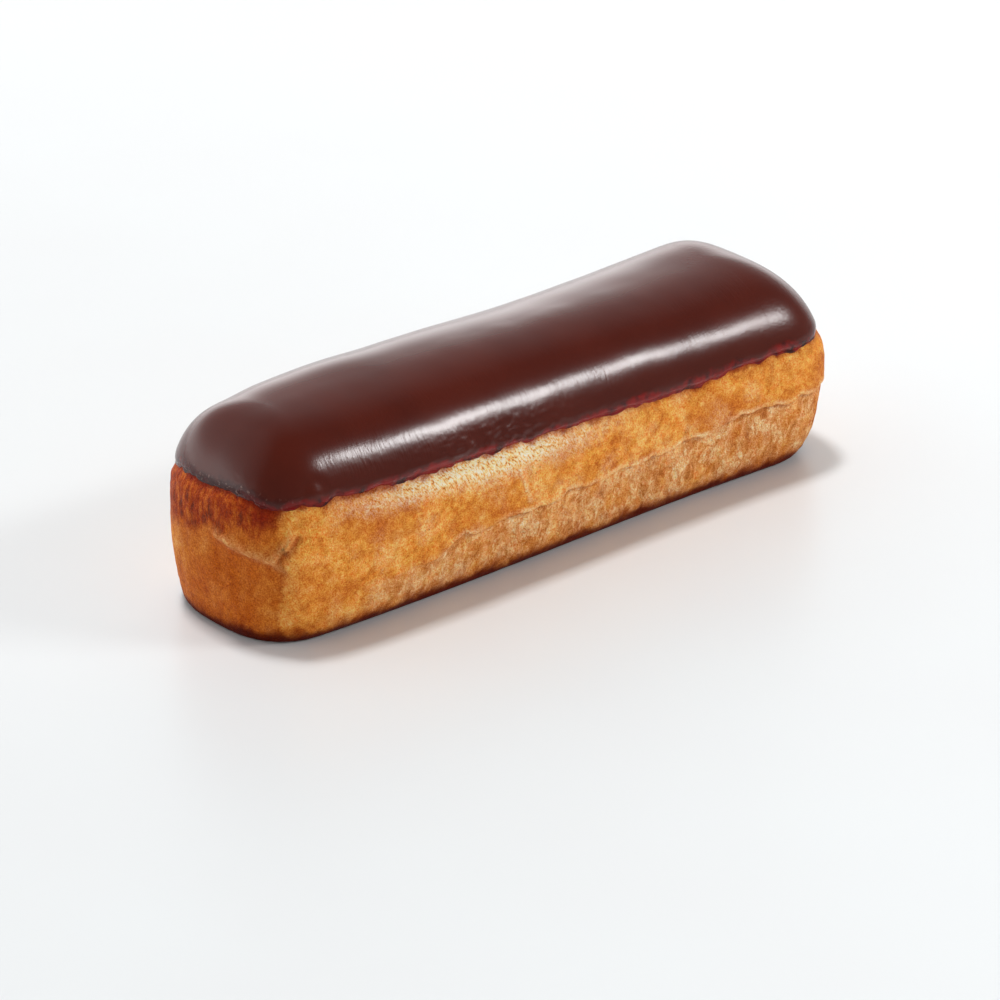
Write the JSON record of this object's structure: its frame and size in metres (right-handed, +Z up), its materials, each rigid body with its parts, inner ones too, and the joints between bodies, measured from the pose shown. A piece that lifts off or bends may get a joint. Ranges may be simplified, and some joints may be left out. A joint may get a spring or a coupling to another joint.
{
  "type": "chocolate eclair",
  "caption": "Long baked choux bar with rounded ends and a flat base, under a cap of glossy chocolate icing with a wavy lower edge.",
  "frame": {"origin": "middle of the bounding box, at the level of the flat base that the eclair rests on", "axes": "+X along the bar towards its wider end, +Z up through the icing, so +Y is across the bar"},
  "size_m": [0.145, 0.0466, 0.0416],
  "materials": {
    "crust": "baked choux crust, dull with a faint sheen",
    "chocolate": "set chocolate icing, smooth and glossy"
  },
  "bodies": {
    "root": {"pastry": "crust", "icing": "chocolate"}
  },
  "joints": []
}
